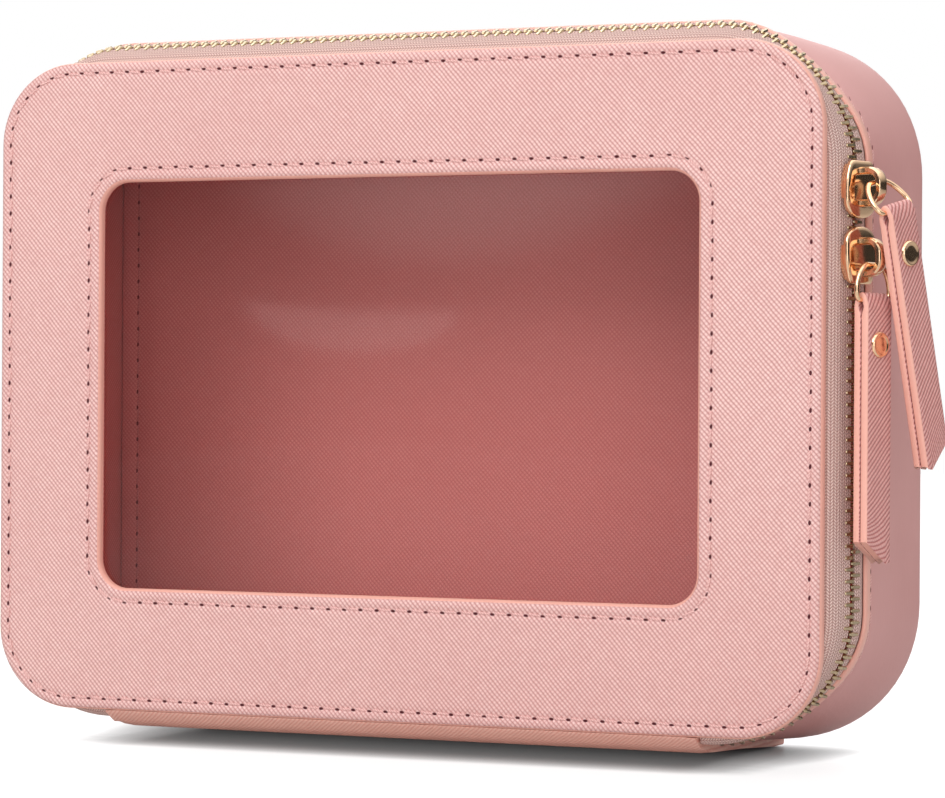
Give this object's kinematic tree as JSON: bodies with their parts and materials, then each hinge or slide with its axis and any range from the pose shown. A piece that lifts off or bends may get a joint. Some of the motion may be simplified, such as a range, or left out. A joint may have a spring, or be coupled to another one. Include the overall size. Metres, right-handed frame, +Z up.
{
  "type": "makeup train case",
  "caption": "Rounded rectangular zip-around travel make-up case with a clear window lid, a stiff leather-look body, a leather hinge strip and two sliders with strap pulls.",
  "frame": {"origin": "centre of the underside of the base strip's plane, under the middle of the case, half way from its front face to its back face", "axes": "+X to the right seen from the window side (the sliders' side), +Y from the window to the back, +Z up"},
  "size_m": [0.236, 0.0708, 0.1693],
  "materials": {
    "saffiano_leather": "fine diagonal cross-hatch grain, satin",
    "smooth_leather": "fine smooth grain, satin",
    "edge_leather": "smooth, rolled",
    "lining_leather": "fine diagonal cross-hatch grain, satin",
    "board": "grey board, hidden",
    "clear_vinyl": "clear soft plastic sheet, glossy",
    "thread": "twisted sewing thread",
    "zip_tape": "woven herringbone tape",
    "zip_metal": "light gold plated, polished",
    "gold_metal": "light gold plated, mirror polished"
  },
  "bodies": {
    "case_body": {"gusset_cover": "smooth_leather", "gusset_board": "board", "gusset_lining": "lining_leather", "back_cover": "saffiano_leather", "back_board": "board", "back_lining": "lining_leather", "rim_binding": "edge_leather", "rim_stitches": "thread", "back_stitches": "thread", "lining_stitches": "thread", "rear_zipper_tape": "zip_tape", "rear_zipper_teeth": "zip_metal", "base_strip": "smooth_leather"},
    "window_lid": {"lid_cover": "saffiano_leather", "lid_board": "board", "window_pane": "clear_vinyl", "lid_lining": "lining_leather", "lid_edge_stitches": "thread", "window_stitches": "thread", "front_zipper_tape": "zip_tape", "front_zipper_teeth": "zip_metal", "hinge_flap": "smooth_leather"},
    "upper_slider": {"upper_slider_body": "gold_metal", "upper_slider_bail": "gold_metal"},
    "upper_ring": {"upper_pull_ring": "gold_metal"},
    "upper_tab": {"upper_tab_strap": "saffiano_leather", "upper_tab_rivet_cap": "gold_metal", "upper_tab_rivet_post": "gold_metal"},
    "lower_slider": {"lower_slider_body": "gold_metal", "lower_slider_bail": "gold_metal"},
    "lower_ring": {"lower_pull_ring": "gold_metal"},
    "lower_tab": {"lower_tab_strap": "saffiano_leather", "lower_tab_rivet_cap": "gold_metal", "lower_tab_rivet_post": "gold_metal"}
  },
  "joints": [
    {"name": "lid_hinge", "type": "hinge", "parent": "case_body", "child": "window_lid", "pos_m": [0, -0.029, 0.00645], "axis": [1, 0, 0], "range_deg": [0, 90]},
    {"name": "upper_slider_slide", "type": "slide", "parent": "case_body", "child": "upper_slider", "axis": [0, 0, 1], "range_m": [0, 0.0025]},
    {"name": "lower_slider_slide", "type": "slide", "parent": "case_body", "child": "lower_slider", "axis": [0, 0, -1], "range_m": [0, 0.045]},
    {"name": "lower_ring_lift", "type": "hinge", "parent": "lower_slider", "child": "lower_ring", "pos_m": [0.11279, -0.0273, 0.1129], "axis": [-0.3746, -0.9272, 0], "range_deg": [0, 95]},
    {"name": "upper_ring_lift", "type": "hinge", "parent": "upper_slider", "child": "upper_ring", "pos_m": [0.11329, -0.02739, 0.131], "axis": [-0.3643, -0.9016, -0.2334], "range_deg": [0, 95]},
    {"name": "upper_tab_lift", "type": "hinge", "parent": "upper_ring", "child": "upper_tab", "pos_m": [0.11815, -0.02778, 0.12491], "axis": [-0.3643, -0.9016, -0.2334], "range_deg": [0, 70]},
    {"name": "lower_tab_lift", "type": "hinge", "parent": "lower_ring", "child": "lower_tab", "pos_m": [0.11279, -0.0273, 0.1051], "axis": [-0.3746, -0.9272, 0], "range_deg": [0, 4]}
  ],
  "couplings": [
    {"joint": "upper_ring_lift", "follows": "lower_ring_lift", "ratio": 1}
  ]
}
